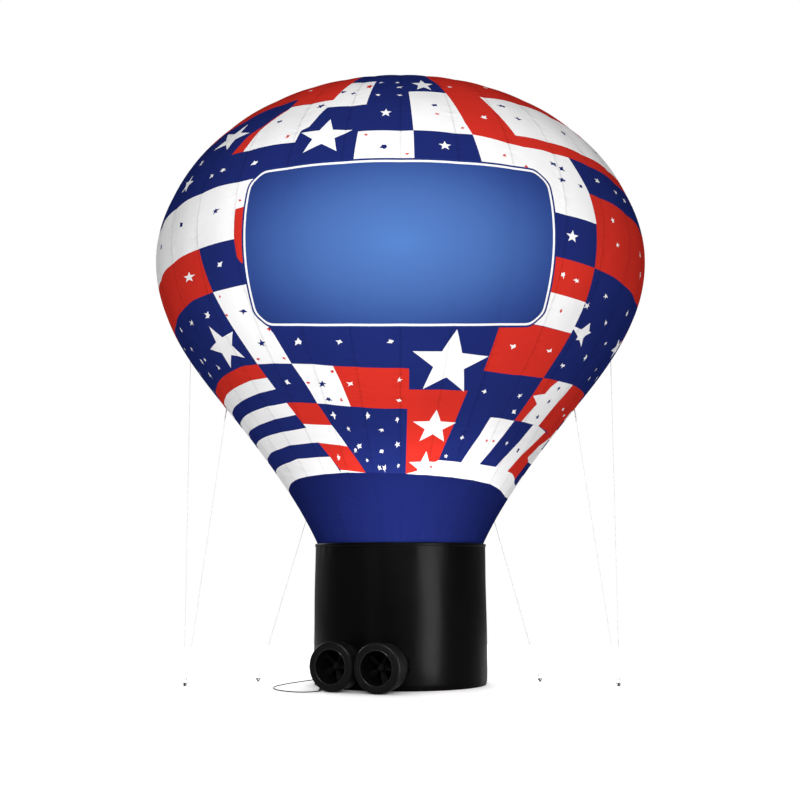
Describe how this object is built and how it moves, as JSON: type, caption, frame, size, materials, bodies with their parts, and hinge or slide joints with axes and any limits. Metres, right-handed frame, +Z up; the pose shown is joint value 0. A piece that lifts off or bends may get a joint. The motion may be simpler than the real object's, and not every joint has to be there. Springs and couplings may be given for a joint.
{
  "type": "hot air balloon shaped advertising inflatable on a drum base",
  "caption": "Ground-standing cold-air inflatable shaped like a hot air balloon, with blank banners, a drum base, blowers, guys and ground anchors.",
  "frame": {"origin": "on the floor, in the middle of the drum base, under the balloon's axis", "axes": "+Z up along the balloon's axis, -Y towards the front banner, +X to the right of someone who faces the front banner"},
  "size_m": [5.04, 5.0466, 6.1183],
  "materials": {
    "print_cloth": "coated woven polyester, printed",
    "navy_cloth": "coated woven polyester",
    "banner_blue": "printed polyester with a blue gradient",
    "black_vinyl": "smooth coated vinyl cloth, half gloss",
    "black_plastic": "moulded, fine grain",
    "grey_plastic": "moulded",
    "dark_metal": "black paint",
    "webbing": "woven webbing",
    "pale_rope": "braided",
    "black_rubber": "matte"
  },
  "bodies": {
    "root": {"envelope": "print_cloth", "neck_skirt": "navy_cloth", "crown_patch": "navy_cloth", "banner_front": "banner_blue", "banner_rear": "banner_blue", "drum_wall": "black_vinyl", "drum_hem": "black_vinyl", "drum_floor": "black_vinyl", "inlet_ring_left": "black_plastic", "inlet_ring_right": "black_plastic", "blower_housing_left": "black_plastic", "blower_housing_right": "black_plastic", "switch_box_left": "black_plastic", "switch_box_right": "black_plastic", "fan_motor_left": "dark_metal", "fan_motor_right": "dark_metal", "air_sleeve_left": "black_vinyl", "air_sleeve_right": "black_vinyl", "sleeve_strap_left": "webbing", "sleeve_strap_right": "webbing", "strain_relief": "black_rubber", "lead_tube": "black_rubber", "lead_coil": "black_rubber", "lead_plug": "black_rubber", "ground_anchor_front_left": "dark_metal", "ground_anchor_front_right": "dark_metal", "ground_anchor_rear_left": "dark_metal", "ground_anchor_rear_right": "dark_metal", "tie_down_left_1": "navy_cloth", "tie_down_left_2": "navy_cloth", "tie_down_left_3": "navy_cloth", "tie_down_right_1": "navy_cloth", "tie_down_right_2": "navy_cloth", "tie_down_right_3": "navy_cloth", "guy_left_1": "pale_rope", "guy_left_2": "pale_rope", "guy_left_3": "pale_rope", "guy_right_1": "pale_rope", "guy_right_2": "pale_rope", "guy_right_3": "pale_rope"},
    "left_fan": {"fan_left": "grey_plastic"},
    "right_fan": {"fan_right": "grey_plastic"}
  },
  "joints": [
    {"name": "left_fan_spin", "type": "hinge", "parent": "root", "child": "left_fan", "pos_m": [-0.60083, -0.85711, 0.235], "axis": [0.4648, 0.8854, 0], "continuous": true},
    {"name": "right_fan_spin", "type": "hinge", "parent": "root", "child": "right_fan", "pos_m": [-0.18751, -1.08514, 0.235], "axis": [0.4051, 0.9143, 0], "continuous": true}
  ]
}
